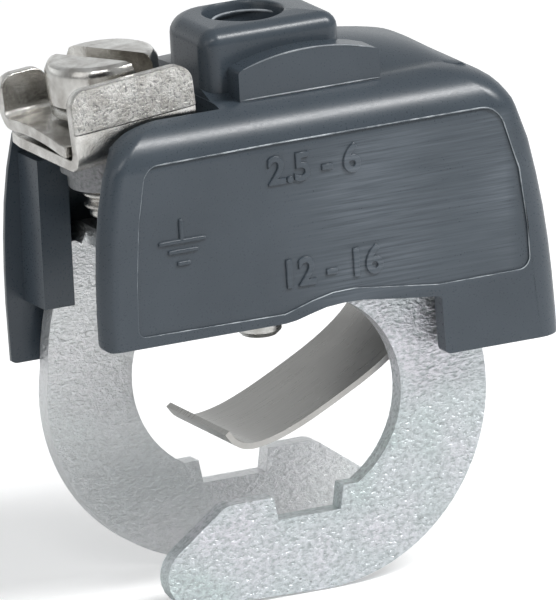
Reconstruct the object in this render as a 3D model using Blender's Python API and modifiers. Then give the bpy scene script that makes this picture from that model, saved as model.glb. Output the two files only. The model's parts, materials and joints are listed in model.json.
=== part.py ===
"""Earthing pipe clamp for 12 and 16 mm pipe.

Frame: X runs along the housing, Y is the pipe's axis, Z is up.
The origin is on the pipe's axis, midway between the two hooks.
A plastic housing covers a bent steel stirrup. The stirrup's two hooks open to opposite sides,
so the clamp goes onto the pipe with a twist. The pressing screw then drives a spring leaf onto
the pipe. The earth wire sits between the two saddles of the terminal.
"""
import math

import bmesh
import bpy
from mathutils import Matrix, Vector

MM = 0.001

# Pipe and hooks
PIPE_LARGE_D = 16.0 * MM
HOOK_PIPE_CLEARANCE = 1.0 * MM
HOOK_R = PIPE_LARGE_D / 2 + HOOK_PIPE_CLEARANCE
HOOK_SPACING = 14.2 * MM
FRAME_SHEET = 1.6 * MM
FRAME_BEND_R = 0.8 * MM
HOOK_FLOOR = HOOK_R - 1.25 * MM
NOTCH_HALF_WIDTH = 3.25 * MM
NOTCH_TAPER = 0.35 * MM
NOTCH_DEPTH = 2.0 * MM
HOOK_OUTER_R = 15.7 * MM
HOOK_OUTER_CENTRE = (1.2 * MM, -0.65 * MM)
NOSE_REACH = 13.3 * MM
NOSE_CORNER = -7.6 * MM
NOSE_TIP_R = 2.7 * MM
NOSE_LIFT = 0.35 * MM
LEG_BULGE = 0.7 * MM
HOOK_ARC_START = 10.0
WEB_TOP = 14.8 * MM
WEB_HALF_LENGTH = 13.4 * MM
WEB_SHOULDER = WEB_TOP - 0.6 * MM
LEG_FACE = HOOK_SPACING / 2 + FRAME_SHEET / 2
LEG_INNER = HOOK_SPACING / 2 - FRAME_SHEET / 2

# Fits
PIECE_GAP = 0.3 * MM
THREAD_CLEARANCE = 0.05 * MM
PIVOT_CLEARANCE = 0.3 * MM

# Pressing screw
MAIN_THREAD_R = 3.0 * MM
MAIN_POINT_R = 1.9 * MM
MAIN_POINT_LENGTH = 2.4 * MM
MAIN_TIP_Z = 4.1 * MM
MAIN_SHANK_LENGTH = 15.0 * MM
MAIN_HEAD_R = 3.9 * MM
MAIN_HEAD_HEIGHT = 3.4 * MM
MAIN_TRAVEL_UP = 4.2 * MM
MAIN_SLOT_WIDTH = 1.4 * MM
MAIN_SLOT_DEPTH = 1.6 * MM
COLLAR_WALL = 1.3 * MM
COLLAR_DEPTH = 3.0 * MM

# Contact leaf
LEAF_SHEET = 0.5 * MM
LEAF_PIVOT = (11.9 * MM, 11.5 * MM)
LEAF_EAR_WIDTH = 1.5 * MM
LEAF_EAR_PROUD = 0.5 * MM
LEAF_SIDE_PLAY = 0.7 * MM
LEAF_HALF_WIDTH = LEG_INNER - LEAF_SIDE_PLAY
LEAF_PATH = [(-6.1, -2.25), (-5.5, -3.05), (-4.6, -3.6), (-3.4, -3.7), (-1.4, -3.3), (0.8, -2.5), (3.0, -1.5),
             (5.0, -0.5), (7.0, 0.55), (9.0, 1.8), (10.9, 3.4), (12.1, 5.3), (12.4, 7.4), (12.1, 9.6), (11.9, 11.5),
             (11.9, 12.6)]

# Housing
WALL = 1.5 * MM
SKIN_CLEARANCE = 1.0 * MM
HOUSING_DRAFT = 0.4 * MM
HOUSING_HALF_DEPTH = LEG_FACE + SKIN_CLEARANCE + WALL
HOUSING_TOP_HALF_DEPTH = HOUSING_HALF_DEPTH - HOUSING_DRAFT
HOUSING_TOP = 26.2 * MM
SHOULDER_R = 4.0 * MM
SKIRT_BOTTOM = 7.6 * MM
TAB_BOTTOM = 2.6 * MM
SHELL_BASE = TAB_BOTTOM - 0.6 * MM
LEFT_CORNER_R = 1.4 * MM
RIGHT_CORNER_R = 2.4 * MM
BOTTOM_CORNER_R = 0.7 * MM
FRONT_TAB_START = 12.15 * MM
REAR_TAB_END = -8.7 * MM
TAB_WRAP = 5.5 * MM
HOUSING_MIDDLE = 2.05
ARCH_PROFILE = [(-2.4, 0.0), (-1.4, 0.12), (0.0, 0.48), (1.4, 0.8), (3.0, 0.92), (4.8, 0.88), (8.3, 0.42)]
LEFT_PROFILE = [(2.0, -18.7), (8.0, -18.9), (11.2, -18.9), (13.0, -18.85), (16.6, -18.6), (20.2, -18.1),
                (22.2, -17.6), (23.5, -16.95), (24.5, -16.1), (25.3, -14.9), (25.9, -13.4), (26.2, -12.0)]
RIGHT_PROFILE = [(2.0, 23.4), (6.4, 23.3), (10.1, 23.1), (14.4, 22.65), (18.9, 21.85), (21.3, 21.15), (22.9, 20.5),
                 (24.0, 19.8), (24.8, 19.05), (25.4, 18.2), (25.9, 16.9), (26.2, 15.4)]
LABEL_DEPTH = 0.2 * MM
LABEL_CORNERS = [((-15.9, 8.5), 0.7), ((-15.75, 13.0), 0), ((-15.3, 18.0), 0), ((-14.4, 22.8), 1.5),
                 ((-3.0, 22.95), 0), ((18.3, 22.95), 2.2), ((19.9, 17.3), 0), ((20.4, 12.5), 0),
                 ((20.45, 8.65), 1.1), ((11.9, 8.6), 0), ((6.1, 9.3), 0), ((4.1, 9.55), 0), ((2.1, 9.5), 0),
                 ((0.2, 9.1), 0), ((-2.4, 8.35), 0)]

# Raised top, front rib and tower
PLATFORM_HALF_DEPTH = 6.0 * MM
PLATFORM_EDGE_R = 0.5 * MM
PLATFORM_CREST_AT = 0.7
PLATFORM_CREST = [(-6.0, 27.9), (0.0, 28.2), (4.0, 28.3), (8.0, 28.2), (11.5, 27.85), (14.1, 27.35),
                  (15.6, 26.9), (16.6, 26.35), (17.4, 25.7)]
RIB_START = -4.0 * MM
RIB_END = 9.0 * MM
RIB_TOP = 29.75 * MM
RIB_TOP_R = 20.0 * MM
RIB_FRONT = HOUSING_TOP_HALF_DEPTH - 3.0 * MM
RIB_DEPTH = 2.6 * MM
RIB_CORNER_R = 0.4 * MM
TOWER_X = (-6.0 * MM, 6.8 * MM)
TOWER_Y = (-4.9 * MM, 4.5 * MM)
TOWER_TOP = 32.0 * MM
TOWER_CROWN = 0.35 * MM
TOWER_FRONT_R = 1.5 * MM
TOWER_REAR_R = 3.6 * MM
TOWER_TOP_R = 1.3 * MM
FUNNEL_R = 3.3 * MM
FUNNEL_LIP_R = 0.5 * MM
FUNNEL_THROAT_R = 2.9 * MM
FUNNEL_DEPTH = 3.2 * MM
HEAD_CHAMBER_CLEARANCE = 0.4 * MM
SLEEVE_WALL = 1.0 * MM
SLEEVE_BOTTOM = 17.2 * MM
GUIDE_WALL = 1.2 * MM
PAD_X = 8.0 * MM

# Terminal
TERMINAL_X = -12.6 * MM
TERMINAL_Z = 22.7 * MM
TERMINAL_TILT = math.radians(5.0)
SADDLE_SHEET = 1.0 * MM
LOWER_SADDLE_SPAN = (-6.3 * MM, 4.95 * MM)
UPPER_SADDLE_SPAN = (-6.7 * MM, 5.2 * MM)
SADDLE_HALF_DEPTH = 6.9 * MM
LOWER_LIP_HEIGHT = 7.1 * MM
UPPER_LIP_HEIGHT = 4.2 * MM
UPPER_LIP_LENGTH = 4.3 * MM
LOWER_LIP_CORNER_R = 1.5 * MM
UPPER_LIP_CORNER_R = 1.3 * MM
SADDLE_EDGE_FLAT = 1.3 * MM
SADDLE_EDGE_RISE = 0.2 * MM
SADDLE_BOW = 0.45 * MM
SADDLE_BEND_R = 0.7 * MM
WASHER_R = 4.6 * MM
WASHER_THICKNESS = 0.9 * MM
STUD_R = 3.0 * MM
STUD_HEAD_R = 4.75 * MM
STUD_HEAD_HEIGHT = 3.4 * MM
STUD_LENGTH = 10.2 * MM
STUD_SLOT_WIDTH = 2.3 * MM
STUD_SLOT_DEPTH = 2.2 * MM
STUD_SLOT_TURN = math.radians(-65.0)
STUD_COLLAR_WALL = 1.0 * MM
STUD_COLLAR_DEPTH = 3.2 * MM
TONGUE_HALF_WIDTH = 4.3 * MM
TONGUE_ROOT_X = -4.2 * MM
TONGUE_RISER_X = -7.3 * MM
TONGUE_OVERHANG = TONGUE_HALF_WIDTH
TONGUE_END_R = TONGUE_HALF_WIDTH - 0.3 * MM
TONGUE_WINDOW = 4.5 * MM
TERMINAL_CUT_END = TOWER_X[0] - 0.1 * MM
TERMINAL_CUT_HALF = SADDLE_HALF_DEPTH + 0.5 * MM

LATHE_STEPS = 40
CORNER_STEPS = 5
WALL_LEVELS = 7
SHOULDER_STEPS = 9
EDGE_STEPS = 5
PLATFORM_STEPS = 10


# Scene helpers

def clear_scene():
    for obj in list(bpy.data.objects):
        bpy.data.objects.remove(obj, do_unlink=True)


def new_collection(name):
    collection = bpy.data.collections.new(name)
    bpy.context.scene.collection.children.link(collection)
    return collection


def material(name, color, metallic, roughness):
    mat = bpy.data.materials.new(name)
    mat.use_nodes = True
    shader = mat.node_tree.nodes["Principled BSDF"]
    shader.inputs["Base Color"].default_value = (*color, 1.0)
    shader.inputs["Metallic"].default_value = metallic
    shader.inputs["Roughness"].default_value = roughness
    return mat


def add_object(name, mesh, collection, mat=None):
    obj = bpy.data.objects.new(name, mesh)
    collection.objects.link(obj)
    if mat is not None:
        mesh.materials.clear()
        mesh.materials.append(mat)
    return obj


def add_cutter(name, mesh):
    obj = add_object(name, mesh, CUTTERS)
    obj.hide_render = True
    obj.display_type = "WIRE"
    return obj


def clean(mesh, distance=1e-6):
    bm = bmesh.new()
    bm.from_mesh(mesh)
    bmesh.ops.remove_doubles(bm, verts=bm.verts, dist=distance)
    bmesh.ops.recalc_face_normals(bm, faces=bm.faces)
    bm.to_mesh(mesh)
    bm.free()
    return mesh


def apply_modifiers(obj):
    """Bake the modifier stack, and keep the object's place."""
    graph = bpy.context.evaluated_depsgraph_get()
    graph.update()
    mesh = bpy.data.meshes.new_from_object(obj.evaluated_get(graph), depsgraph=graph)
    materials = list(obj.data.materials)
    obj.modifiers.clear()
    obj.data = mesh
    mesh.materials.clear()
    for mat in materials:
        mesh.materials.append(mat)
    return obj


def combine(obj, other, operation):
    """Join, cut or trim one solid with another."""
    modifier = obj.modifiers.new(operation.title(), "BOOLEAN")
    modifier.operation = operation
    modifier.solver = "EXACT"
    modifier.object = other
    apply_modifiers(obj)
    clean(obj.data)
    return obj


# Shape helpers

def prism(name, loops, start, end, plane="XZ"):
    """Solid between two planes, from closed outlines; an inner outline is a hole.

    plane XZ: outlines hold (x, z) and the solid runs from y = start to y = end.
    plane YZ: outlines hold (y, z) and the solid runs from x = start to x = end.
    plane XY: outlines hold (x, y) and the solid runs from z = start to z = end.
    """
    curve = bpy.data.curves.new(name, "CURVE")
    curve.dimensions = "2D"
    curve.fill_mode = "BOTH"
    curve.extrude = abs(end - start) / 2
    for loop in loops:
        spline = curve.splines.new("POLY")
        spline.points.add(len(loop) - 1)
        for point, (a, b) in zip(spline.points, loop):
            point.co = (a, b, 0.0, 1.0)
        spline.use_cyclic_u = True
    holder = bpy.data.objects.new(name, curve)
    CUTTERS.objects.link(holder)
    bpy.context.view_layer.update()
    mesh = bpy.data.meshes.new_from_object(holder)
    bpy.data.objects.remove(holder, do_unlink=True)
    middle = (start + end) / 2
    if plane == "XZ":
        mesh.transform(Matrix(((1, 0, 0, 0), (0, 0, -1, middle), (0, 1, 0, 0), (0, 0, 0, 1))))
    elif plane == "YZ":
        mesh.transform(Matrix(((0, 0, 1, middle), (1, 0, 0, 0), (0, 1, 0, 0), (0, 0, 0, 1))))
    else:
        mesh.transform(Matrix.Translation((0, 0, middle)))
    return clean(mesh)


def box(name, low, high):
    bm = bmesh.new()
    bmesh.ops.create_cube(bm, size=1.0)
    size = [b - a for a, b in zip(low, high)]
    middle = [(a + b) / 2 for a, b in zip(low, high)]
    bmesh.ops.scale(bm, vec=size, verts=bm.verts)
    bmesh.ops.translate(bm, vec=middle, verts=bm.verts)
    mesh = bpy.data.meshes.new(name)
    bm.to_mesh(mesh)
    bm.free()
    return mesh


def lathe(name, profile, steps=LATHE_STEPS):
    """Turned solid: the profile runs down the outer side, from the axis to the axis."""
    mesh = bpy.data.meshes.new(name)
    vertices = [(r, 0.0, z) for r, z in profile]
    edges = [(i, i + 1) for i in range(len(vertices) - 1)]
    mesh.from_pydata(vertices, edges, [])
    holder = bpy.data.objects.new(name, mesh)
    CUTTERS.objects.link(holder)
    screw = holder.modifiers.new("Turn", "SCREW")
    screw.axis = "Z"
    screw.angle = math.tau
    screw.steps = steps
    screw.render_steps = steps
    screw.use_merge_vertices = True
    screw.merge_threshold = 0.00001
    apply_modifiers(holder)
    mesh = holder.data
    bpy.data.objects.remove(holder, do_unlink=True)
    return clean(mesh)


def mm_points(points):
    return [(a * MM, b * MM) for a, b in points]


def arc(centre, radius, start, end, steps):
    """Points on an arc; the angles are in degrees."""
    points = []
    for i in range(steps + 1):
        angle = math.radians(start + (end - start) * i / steps)
        points.append((centre[0] + radius * math.cos(angle), centre[1] + radius * math.sin(angle)))
    return points


def fillet(points, radius, steps=CORNER_STEPS, closed=False):
    """Round the corners of a path. radius is one value, or one per point."""
    count = len(points)
    result = []
    for i, point in enumerate(points):
        r = radius[i] if isinstance(radius, (list, tuple)) else radius
        if (not closed and i in (0, count - 1)) or r <= 0:
            result.append(point)
            continue
        here = Vector(point)
        before = (Vector(points[i - 1]) - here)
        after = (Vector(points[(i + 1) % count]) - here)
        turn = before.angle(after)
        back = r / math.tan(turn / 2)
        centre = here + (before.normalized() + after.normalized()).normalized() * (r / math.sin(turn / 2))
        a = here + before.normalized() * back - centre
        b = here + after.normalized() * back - centre
        sweep = a.angle_signed(b)
        for k in range(steps + 1):
            spun = Matrix.Rotation(-sweep * k / steps, 2) @ a
            result.append(tuple(centre + spun))
    return result


def smooth_path(points, steps=3):
    """Catmull-Rom curve through the points."""
    result = []
    last = len(points) - 1
    for i in range(last):
        p0 = Vector(points[max(i - 1, 0)])
        p1 = Vector(points[i])
        p2 = Vector(points[i + 1])
        p3 = Vector(points[min(i + 2, last)])
        for k in range(steps):
            t = k / steps
            value = 0.5 * (2 * p1 + (p2 - p0) * t + (2 * p0 - 5 * p1 + 4 * p2 - p3) * t * t
                           + (3 * p1 - p0 - 3 * p2 + p3) * t ** 3)
            result.append(tuple(value))
    result.append(tuple(points[-1]))
    return result


def strip(path, thickness):
    """Closed outline of a bent sheet, from the path along its middle."""
    left = []
    right = []
    last = len(path) - 1
    for i, point in enumerate(path):
        here = Vector(point)
        before = (here - Vector(path[max(i - 1, 0)]))
        after = (Vector(path[min(i + 1, last)]) - here)
        if i == 0:
            before = after
        if i == last:
            after = before
        before.normalize()
        after.normalize()
        tangent = (before + after).normalized()
        normal = Vector((-tangent.y, tangent.x))
        reach = thickness / 2 / max(0.5, normal.dot(Vector((-before.y, before.x))))
        left.append(tuple(here + normal * reach))
        right.append(tuple(here - normal * reach))
    return left + right[::-1]


def profile_at(profile, z):
    """Straight-line value of a list of (height, value) pairs in millimetres."""
    z = z / MM
    if z <= profile[0][0]:
        return profile[0][1] * MM
    for (za, a), (zb, b) in zip(profile, profile[1:]):
        if z <= zb:
            return (a + (b - a) * (z - za) / (zb - za)) * MM
    return profile[-1][1] * MM


def place_terminal(mesh):
    """Bring a terminal piece from its own frame onto the tilted tongue."""
    mesh.transform(TERMINAL_FRAME)
    return mesh


def finish(obj):
    clean(obj.data)
    obj.data.validate()
    return obj


# Clamp frame

def leg_edge_x(z):
    """Outer edge of a leg between the web and the round of the hook: a line with a slight bulge."""
    start = (WEB_HALF_LENGTH, WEB_SHOULDER)
    angle = math.radians(HOOK_ARC_START)
    cx, cz = HOOK_OUTER_CENTRE
    end = (cx + HOOK_OUTER_R * math.cos(angle), cz + HOOK_OUTER_R * math.sin(angle))
    t = (start[1] - z) / (start[1] - end[1])
    return start[0] + (end[0] - start[0]) * t + LEG_BULGE * 4 * t * (1 - t)


def hook_outline(side):
    """Leg outline in X and Z; side is 1 for the front leg and -1 for the rear leg, turned half round Z."""
    cx, cz = HOOK_OUTER_CENTRE
    top = WEB_TOP + FRAME_SHEET
    low = cz + HOOK_OUTER_R * math.sin(math.radians(HOOK_ARC_START))
    outline = [(-WEB_HALF_LENGTH, top), (WEB_HALF_LENGTH, top)]
    for i in range(6):
        z = WEB_SHOULDER + (low - WEB_SHOULDER) * i / 6
        outline.append((leg_edge_x(z), z))
    outline += arc((cx, cz), HOOK_OUTER_R, HOOK_ARC_START, -90, 26)
    tip_centre = (-NOSE_REACH + NOSE_TIP_R, cz - HOOK_OUTER_R + NOSE_LIFT + NOSE_TIP_R)
    outline += arc(tip_centre, NOSE_TIP_R, -90, -238, 10)
    outline += fillet([outline[-1], (NOSE_CORNER, -HOOK_FLOOR), (-NOTCH_HALF_WIDTH, -HOOK_FLOOR)], 2.0 * MM)[1:]
    floor_half = NOTCH_HALF_WIDTH - NOTCH_TAPER
    outline += [(-floor_half, -HOOK_FLOOR - NOTCH_DEPTH), (floor_half, -HOOK_FLOOR - NOTCH_DEPTH)]
    outline += [(NOTCH_HALF_WIDTH, -HOOK_FLOOR)]
    start = -math.degrees(math.asin(HOOK_FLOOR / HOOK_R))
    outline += arc((0.0, 0.0), HOOK_R, start, 90, 26)
    outline += [(-WEB_HALF_LENGTH, HOOK_R)]
    return [(side * x, z) for x, z in outline]


def make_clamp_frame():
    reach = HOOK_OUTER_CENTRE[0] + HOOK_OUTER_R + FRAME_SHEET
    low = HOOK_OUTER_CENTRE[1] - HOOK_OUTER_R - FRAME_SHEET
    mid = HOOK_SPACING / 2
    web_mid = WEB_TOP - FRAME_SHEET / 2
    channel = fillet([(-mid, low), (-mid, web_mid), (mid, web_mid), (mid, low)], FRAME_BEND_R + FRAME_SHEET / 2, 6)
    mesh = prism("clamp_frame", [strip(channel, FRAME_SHEET)], -reach, reach, "YZ")
    frame = add_object("clamp_frame", mesh, PARTS, ZINC_STEEL)
    frame_box = [(-2 * reach, -2 * reach), (2 * reach, -2 * reach), (2 * reach, 2 * reach), (-2 * reach, 2 * reach)]
    for side, start, end in ((1, -2 * mid, -mid / 2), (-1, mid / 2, 2 * mid)):
        punch = prism("leg_punch", [frame_box, hook_outline(side)], start, end)
        combine(frame, add_cutter("leg_punch", punch), "DIFFERENCE")
    for side in (-1, 1):
        xs = sorted((side * WEB_HALF_LENGTH, side * 2 * reach))
        trim = box("web_trim", (xs[0], -mid * 0.6, WEB_TOP / 3), (xs[1], mid * 0.6, 2 * reach))
        combine(frame, add_cutter("web_trim", trim), "DIFFERENCE")
    # Tongue: rises beside the sleeve and carries the terminal
    top = TERMINAL_Z - PIECE_GAP - FRAME_SHEET / 2
    slope = math.tan(TERMINAL_TILT)
    corner = (TONGUE_RISER_X, top + (TONGUE_RISER_X - TERMINAL_X) * slope)
    end_x = TERMINAL_X - TONGUE_OVERHANG
    end = (end_x, top + (end_x - TERMINAL_X) * slope)
    path = fillet([(TONGUE_ROOT_X, web_mid), (TONGUE_RISER_X, web_mid), corner, end], 1.4 * MM, 5)
    tongue = prism("tongue", [strip(path, FRAME_SHEET)], -TONGUE_HALF_WIDTH, TONGUE_HALF_WIDTH)
    blank = add_cutter("tongue_blank", tongue)
    plan = fillet([(0, -TONGUE_HALF_WIDTH), (end_x, -TONGUE_HALF_WIDTH), (end_x, TONGUE_HALF_WIDTH),
                   (0, TONGUE_HALF_WIDTH)], TONGUE_END_R, 8)
    around = prism("tongue_plan", [frame_box, plan], WEB_TOP + FRAME_SHEET, 2 * reach, "XY")
    combine(blank, add_cutter("tongue_plan", around), "DIFFERENCE")
    half = TONGUE_HALF_WIDTH + 0.4 * MM
    slot = box("tongue_window", (TONGUE_RISER_X - TONGUE_WINDOW, -half, WEB_TOP - 2 * FRAME_SHEET),
               (TONGUE_RISER_X + FRAME_SHEET / 2 + 0.1 * MM, half, WEB_TOP + FRAME_SHEET))
    combine(frame, add_cutter("tongue_window", slot), "DIFFERENCE")
    combine(frame, blank, "UNION")
    # Tapped collars
    collar_r = MAIN_THREAD_R + THREAD_CLEARANCE + COLLAR_WALL
    web_low = WEB_TOP - FRAME_SHEET
    collar = lathe("collar", [(0, web_mid), (collar_r, web_mid), (collar_r, web_low - COLLAR_DEPTH),
                              (0, web_low - COLLAR_DEPTH)])
    combine(frame, add_cutter("collar", collar), "UNION")
    bore_r = MAIN_THREAD_R + THREAD_CLEARANCE
    bore_low = web_low - COLLAR_DEPTH - MM
    bore = lathe("main_bore", [(0, WEB_TOP + MM), (bore_r, WEB_TOP + MM), (bore_r, bore_low), (0, bore_low)])
    combine(frame, add_cutter("main_bore", bore), "DIFFERENCE")
    stud_bore_r = STUD_R + THREAD_CLEARANCE
    boss_r = stud_bore_r + STUD_COLLAR_WALL
    boss_top = -PIECE_GAP - FRAME_SHEET / 2
    boss = lathe("stud_collar", [(0, boss_top), (boss_r, boss_top), (boss_r, -STUD_COLLAR_DEPTH),
                                 (0, -STUD_COLLAR_DEPTH)])
    combine(frame, add_cutter("stud_collar", place_terminal(boss)), "UNION")
    bore_end = -STUD_COLLAR_DEPTH - MM
    stud_bore = lathe("stud_bore", [(0, MM), (stud_bore_r, MM), (stud_bore_r, bore_end), (0, bore_end)])
    combine(frame, add_cutter("stud_bore", place_terminal(stud_bore)), "DIFFERENCE")
    # Holes for the leaf's ears
    ear_r = math.hypot(LEAF_EAR_WIDTH, LEAF_SHEET) / 2 + PIVOT_CLEARANCE
    hole_end = LEG_FACE + FRAME_SHEET
    holes = lathe("ear_holes", [(0, hole_end), (ear_r, hole_end), (ear_r, -hole_end), (0, -hole_end)], 24)
    holes.transform(Matrix.Translation((LEAF_PIVOT[0], 0, LEAF_PIVOT[1])) @ Matrix.Rotation(math.pi / 2, 4, "X"))
    combine(frame, add_cutter("ear_holes", holes), "DIFFERENCE")
    return finish(frame)


# Contact leaf

def make_contact_leaf():
    path = smooth_path(mm_points(LEAF_PATH))
    mesh = prism("contact_leaf", [strip(path, LEAF_SHEET)], -LEAF_HALF_WIDTH, LEAF_HALF_WIDTH)
    leaf = add_object("contact_leaf", mesh, PARTS, LEAF_STEEL)
    ear_end = LEG_FACE + LEAF_EAR_PROUD
    x, z = LEAF_PIVOT
    ears = box("leaf_ears", (x - LEAF_SHEET / 2, -ear_end, z - LEAF_EAR_WIDTH / 2),
               (x + LEAF_SHEET / 2, ear_end, z + LEAF_EAR_WIDTH / 2))
    combine(leaf, add_cutter("leaf_ears", ears), "UNION")
    finish(leaf)
    pivot = Vector((x, 0.0, z))
    leaf.data.transform(Matrix.Translation(-pivot))
    leaf.location = pivot
    return leaf


# Screws

def make_main_screw():
    tip = MAIN_TIP_Z
    shank_low = tip + MAIN_POINT_LENGTH
    head_low = tip + MAIN_SHANK_LENGTH
    head_top = head_low + MAIN_HEAD_HEIGHT
    chamfer = 0.5 * MM
    profile = [(0, head_top), (MAIN_HEAD_R - chamfer, head_top), (MAIN_HEAD_R, head_top - chamfer),
               (MAIN_HEAD_R, head_low), (MAIN_THREAD_R, head_low), (MAIN_THREAD_R, shank_low + 0.7 * MM),
               (MAIN_THREAD_R - 0.7 * MM, shank_low), (MAIN_POINT_R, shank_low - 0.1 * MM),
               (MAIN_POINT_R, tip + 0.45 * MM), (MAIN_POINT_R - 0.45 * MM, tip), (0, tip)]
    screw = add_object("main_screw", lathe("main_screw", profile), PARTS, SCREW_STEEL)
    half = MAIN_SLOT_WIDTH / 2
    slot = box("main_slot", (-6 * MM, -half, head_top - MAIN_SLOT_DEPTH), (6 * MM, half, head_top + MM))
    combine(screw, add_cutter("main_slot", slot), "DIFFERENCE")
    return finish(screw)


def terminal_stack():
    """Heights in the terminal's own frame, from the lower saddle's underside."""
    upper_low = SADDLE_SHEET + PIECE_GAP + SADDLE_BOW
    washer_low = upper_low + SADDLE_SHEET + PIECE_GAP
    head_low = washer_low + WASHER_THICKNESS + PIECE_GAP
    return upper_low, washer_low, head_low


def seat_origin(obj):
    """Set the object's origin on the terminal screw's axis, and turn it with the axis."""
    obj.matrix_world = TERMINAL_FRAME
    return obj


def make_terminal_screw():
    head_low = terminal_stack()[2]
    top = head_low + STUD_HEAD_HEIGHT
    end = head_low - STUD_LENGTH
    rim = 0.8 * MM
    profile = [(0, top), (STUD_HEAD_R - rim, top), (STUD_HEAD_R - rim * 0.4, top - rim * 0.25),
               (STUD_HEAD_R, top - rim), (STUD_HEAD_R, head_low), (STUD_R, head_low), (STUD_R, end + 0.6 * MM),
               (STUD_R - 0.6 * MM, end), (0, end)]
    mesh = lathe("terminal_screw", profile)
    screw = add_object("terminal_screw", mesh, PARTS, TERMINAL_PLATE)
    half = STUD_SLOT_WIDTH / 2
    slot = box("stud_slot", (-7 * MM, -half, top - STUD_SLOT_DEPTH), (7 * MM, half, top + MM))
    slot.transform(Matrix.Rotation(STUD_SLOT_TURN, 4, "Z"))
    combine(screw, add_cutter("stud_slot", slot), "DIFFERENCE")
    finish(screw)
    return seat_origin(screw)


def make_spring_washer():
    low = terminal_stack()[1]
    high = low + WASHER_THICKNESS
    inner = STUD_R + 0.25 * MM
    ring = lathe("spring_washer", [(inner, high), (WASHER_R - 0.15 * MM, high), (WASHER_R, high - 0.15 * MM),
                                   (WASHER_R, low + 0.15 * MM), (WASHER_R - 0.15 * MM, low), (inner, low),
                                   (inner, high)])
    washer = add_object("spring_washer", ring, PARTS, WASHER_STEEL)
    split = box("washer_split", (0, -0.35 * MM, low - MM), (7 * MM, 0.35 * MM, high + MM))
    split.transform(Matrix.Translation((0, 0, low)) @ Matrix.Rotation(math.radians(25), 4, "X")
                    @ Matrix.Translation((0, 0, -low)))
    split.transform(Matrix.Rotation(math.radians(60), 4, "Z"))
    combine(washer, add_cutter("washer_split", split), "DIFFERENCE")
    finish(washer)
    return seat_origin(washer)


# Saddles

def saddle_blank(name, path, span, lip_end, lip_foot, corner_r, lip_side):
    """Bent strip with a screw hole; its lip starts at the left end and has rounded corners."""
    mat = TERMINAL_PLATE
    hole_r = STUD_R + 0.3 * MM
    mesh = prism(name, [strip(path, SADDLE_SHEET)], span[0], span[1], "YZ")
    saddle = add_object(name, mesh, PARTS, mat)
    hole = lathe(name + "_hole", [(0, 5 * MM), (hole_r, 5 * MM), (hole_r, -2 * MM), (0, -2 * MM)], 32)
    combine(saddle, add_cutter(name + "_hole", hole), "DIFFERENCE")
    lip_top = max(z for _, z in path)
    left, right = span
    big = 2 * (right - left)
    edge = [(left, -big), (left, lip_top), (lip_end, lip_top), (right, -big)]
    radii = [0, corner_r, corner_r, 0]
    if lip_end < right:
        edge[3:3] = [(lip_end, lip_foot), (right, lip_foot)]
        radii[3:3] = [SADDLE_BEND_R / 2, 0]
    rounded = fillet(edge, radii, 6)
    corner_tool = [(-big, -big), (-big, big), (big, big), (big, -big)] + rounded[::-1]
    y0, y1 = sorted((lip_side * (SADDLE_HALF_DEPTH - 1.6 * MM), lip_side * (SADDLE_HALF_DEPTH + 2 * MM)))
    punch = prism(name + "_corners", [corner_tool], y0, y1)
    combine(saddle, add_cutter(name + "_corners", punch), "DIFFERENCE")
    finish(saddle)
    return seat_origin(saddle)


def make_lower_saddle():
    half = SADDLE_SHEET / 2
    front = -SADDLE_HALF_DEPTH + half
    rear = SADDLE_HALF_DEPTH - SADDLE_SHEET
    path = fillet([(front, LOWER_LIP_HEIGHT), (front, half), (rear - SADDLE_EDGE_FLAT, half),
                   (rear, half + SADDLE_EDGE_RISE)],
                  [0, SADDLE_BEND_R + half, 2 * MM, 0], 5)
    right = LOWER_SADDLE_SPAN[1]
    return saddle_blank("lower_saddle", path, LOWER_SADDLE_SPAN, right, 0, LOWER_LIP_CORNER_R, -1)


def make_upper_saddle():
    half = SADDLE_SHEET / 2
    low = terminal_stack()[0] - SADDLE_BOW + half
    rear = SADDLE_HALF_DEPTH - half
    front = -SADDLE_HALF_DEPTH + SADDLE_SHEET + 0.5 * MM
    crown = []
    for i in range(9):
        t = i / 8
        y = rear - SADDLE_EDGE_FLAT + (front - rear + 1.7 * SADDLE_EDGE_FLAT) * t
        crown.append((y, low + SADDLE_EDGE_RISE * (1 - t) + SADDLE_BOW * 4 * t * (1 - t) * 0.75))
    bend = fillet([(rear, low + UPPER_LIP_HEIGHT), (rear, low + SADDLE_EDGE_RISE), crown[0]],
                  SADDLE_BEND_R + half, 5)
    path = bend[:-1] + crown + [(front + 0.3 * SADDLE_EDGE_FLAT, low), (front, low)]
    foot = low + half + SADDLE_EDGE_RISE
    lip_end = UPPER_SADDLE_SPAN[0] + UPPER_LIP_LENGTH
    return saddle_blank("upper_saddle", path, UPPER_SADDLE_SPAN, lip_end, foot, UPPER_LIP_CORNER_R, 1)


# Housing

def shell_levels(inset):
    """Height, half depth and outer height of the housing's cross-sections, drawn in by an inset."""
    levels = []
    centre_y = HOUSING_TOP_HALF_DEPTH - SHOULDER_R
    centre_z = HOUSING_TOP - SHOULDER_R
    for i in range(WALL_LEVELS):
        t = i / WALL_LEVELS
        height = SHELL_BASE + (centre_z - SHELL_BASE) * t
        levels.append((height, HOUSING_HALF_DEPTH - HOUSING_DRAFT * t - inset, height))
    radius = SHOULDER_R - inset
    for i in range(SHOULDER_STEPS + 1):
        angle = math.pi / 2 * i / SHOULDER_STEPS
        levels.append((centre_z + radius * math.sin(angle), centre_y + radius * math.cos(angle),
                       centre_z + SHOULDER_R * math.sin(angle)))
    return levels


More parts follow.
